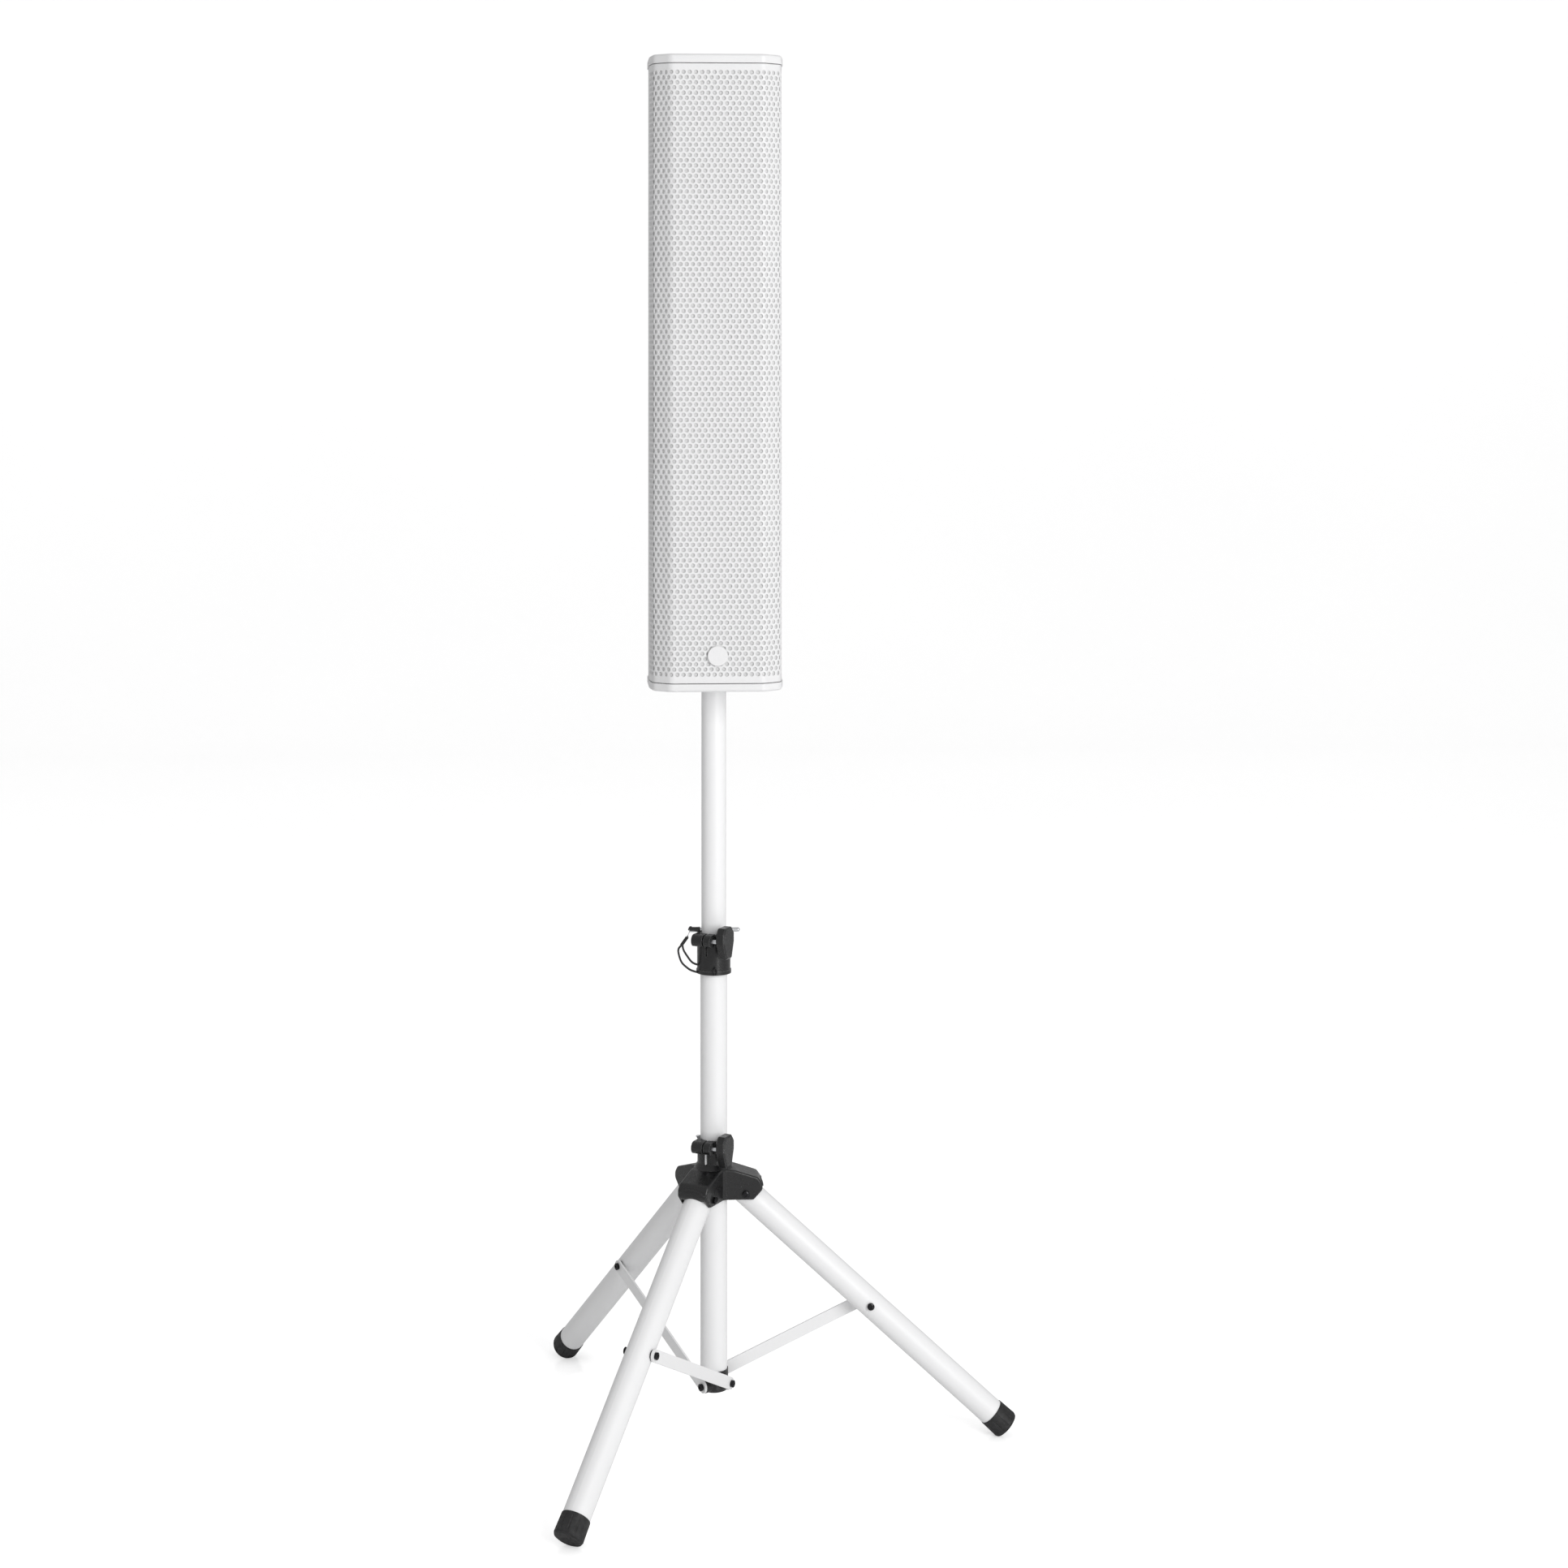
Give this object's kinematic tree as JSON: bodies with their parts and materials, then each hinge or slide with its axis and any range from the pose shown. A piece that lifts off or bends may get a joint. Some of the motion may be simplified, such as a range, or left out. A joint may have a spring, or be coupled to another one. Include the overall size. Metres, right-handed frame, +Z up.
{
  "type": "pa speaker",
  "caption": "Column loudspeaker with a wrap-round perforated grille on a height-adjustable folding tripod stand with braced tube legs.",
  "frame": {"origin": "on the floor under the mast's axis", "axes": "+Z up along the mast, -Y the way the column faces, +X the viewer's right and along leg 1"},
  "size_m": [0.6566, 0.752, 1.9558],
  "materials": {
    "white_powder_coat": "satin powder coat",
    "white_tube": "satin powder coat",
    "white_moulding": "fine satin moulded",
    "black_moulding": "satin moulded",
    "black_metal": "black oxide",
    "zinc_steel": "zinc plated",
    "foot_rubber": "matte",
    "strap": "woven",
    "foam": "open cell",
    "wadding": "fibre",
    "board_wood": "raw",
    "cone_paper": "pressed paper",
    "ferrite": "matte",
    "circuit_board": "laminate",
    "copper_loom": "pvc"
  },
  "bodies": {
    "mast": {"mast_tube": "white_tube", "upper_collar": "black_moulding", "upper_clamp_nut": "zinc_steel", "pin_lanyard": "strap", "bottom_bracket": "black_moulding", "bracket_bolts": "black_metal"},
    "pole": {"inner_pole": "white_tube", "pole_glide_plug": "black_moulding"},
    "column": {"cabinet_shell": "white_moulding", "top_cap": "white_moulding", "bottom_cap": "white_moulding", "grille": "white_powder_coat", "grille_foam": "foam", "front_baffle": "board_wood", "woofer_frames": "black_metal", "woofer_magnets": "ferrite", "woofer_surrounds": "foot_rubber", "tweeter_horn": "black_moulding", "tweeter_driver": "ferrite", "crossover_board": "circuit_board", "crossover_components": "copper_loom", "input_plate": "white_powder_coat", "input_sockets": "black_moulding", "jack_sockets": "black_moulding", "bracket_inserts": "zinc_steel", "damping_wadding": "wadding", "badge": "white_moulding", "pole_socket": "black_metal", "woofer_screws": "black_metal", "cap_screws": "black_metal", "plate_screws": "black_metal", "wiring_loom": "copper_loom"},
    "cones": {"woofer_cones": "cone_paper", "dust_caps": "cone_paper"},
    "upper_knob": {"upper_knob": "black_moulding", "upper_clamp_bolt": "zinc_steel"},
    "lower_knob": {"lower_knob": "black_moulding", "lower_clamp_bolt": "zinc_steel"},
    "pin": {"safety_pin": "zinc_steel", "pin_grip": "black_moulding"},
    "hub": {"lower_hub": "black_moulding", "lower_clamp_nut": "zinc_steel", "leg_pivot_bolts": "black_metal"},
    "leg_1": {"leg_1_tube": "white_tube", "leg_1_foot": "foot_rubber", "leg_1_brace_stud": "black_metal"},
    "brace_1": {"brace_1": "white_tube", "brace_1_outer_bolt": "black_metal"},
    "leg_2": {"leg_2_tube": "white_tube", "leg_2_foot": "foot_rubber", "leg_2_brace_stud": "black_metal"},
    "brace_2": {"brace_2": "white_tube", "brace_2_outer_bolt": "black_metal"},
    "leg_3": {"leg_3_tube": "white_tube", "leg_3_foot": "foot_rubber", "leg_3_brace_stud": "black_metal"},
    "brace_3": {"brace_3": "white_tube", "brace_3_outer_bolt": "black_metal"}
  },
  "joints": [
    {"name": "pole_slide", "type": "slide", "parent": "mast", "child": "pole", "axis": [0, 0, 1], "range_m": [-0.2616, 0], "stiffness_N_per_m": 100000},
    {"name": "column_pan", "type": "hinge", "parent": "pole", "child": "column", "pos_m": [0, 0, 1.0719], "axis": [0, 0, 1], "continuous": true},
    {"name": "cone_travel", "type": "slide", "parent": "column", "child": "cones", "axis": [0, -1, 0], "range_m": [-0.002, 0.002], "stiffness_N_per_m": 4000},
    {"name": "upper_knob_turn", "type": "hinge", "parent": "mast", "child": "upper_knob", "pos_m": [-0.014, -0.02425, 0.713], "axis": [0.866, -0.5, 0], "range_deg": [0, 540]},
    {"name": "pin_pull", "type": "slide", "parent": "mast", "child": "pin", "axis": [-1, 0, 0], "range_m": [0, 0.08]},
    {"name": "hub_slide", "type": "slide", "parent": "mast", "child": "hub", "axis": [0, 0, 1], "range_m": [0, 0.2119], "stiffness_N_per_m": 100000},
    {"name": "lower_knob_turn", "type": "hinge", "parent": "hub", "child": "lower_knob", "pos_m": [-0.014, -0.02425, 0.421], "axis": [0.866, -0.5, 0], "range_deg": [0, 540]},
    {"name": "leg_1_fold", "type": "hinge", "parent": "hub", "child": "leg_1", "pos_m": [0.044, 0, 0.355], "axis": [0, 1, 0], "range_deg": [0, 43.54]},
    {"name": "brace_1_swing", "type": "hinge", "parent": "mast", "child": "brace_1", "pos_m": [-0.0071, 0.0227, 0.0826], "axis": [0, -1, 0], "range_deg": [0, 48.78]},
    {"name": "leg_2_fold", "type": "hinge", "parent": "hub", "child": "leg_2", "pos_m": [-0.022, 0.0381, 0.355], "axis": [-0.866, -0.5, 0], "range_deg": [0, 43.54]},
    {"name": "brace_2_swing", "type": "hinge", "parent": "mast", "child": "brace_2", "pos_m": [-0.01611, -0.0175, 0.0826], "axis": [0.866, 0.5, 0], "range_deg": [0, 48.78]},
    {"name": "leg_3_fold", "type": "hinge", "parent": "hub", "child": "leg_3", "pos_m": [-0.022, -0.0381, 0.355], "axis": [0.866, -0.5, 0], "range_deg": [0, 43.54]},
    {"name": "brace_3_swing", "type": "hinge", "parent": "mast", "child": "brace_3", "pos_m": [0.02321, -0.0052, 0.0826], "axis": [-0.866, 0.5, 0], "range_deg": [0, 48.78]}
  ],
  "couplings": [
    {"joint": "leg_1_fold", "follows": "hub_slide", "rad_per_m": 3.5854},
    {"joint": "brace_1_swing", "follows": "hub_slide", "rad_per_m": 4.0174},
    {"joint": "leg_2_fold", "follows": "hub_slide", "rad_per_m": 3.5854},
    {"joint": "brace_2_swing", "follows": "hub_slide", "rad_per_m": 4.0174},
    {"joint": "leg_3_fold", "follows": "hub_slide", "rad_per_m": 3.5854},
    {"joint": "brace_3_swing", "follows": "hub_slide", "rad_per_m": 4.0174}
  ]
}
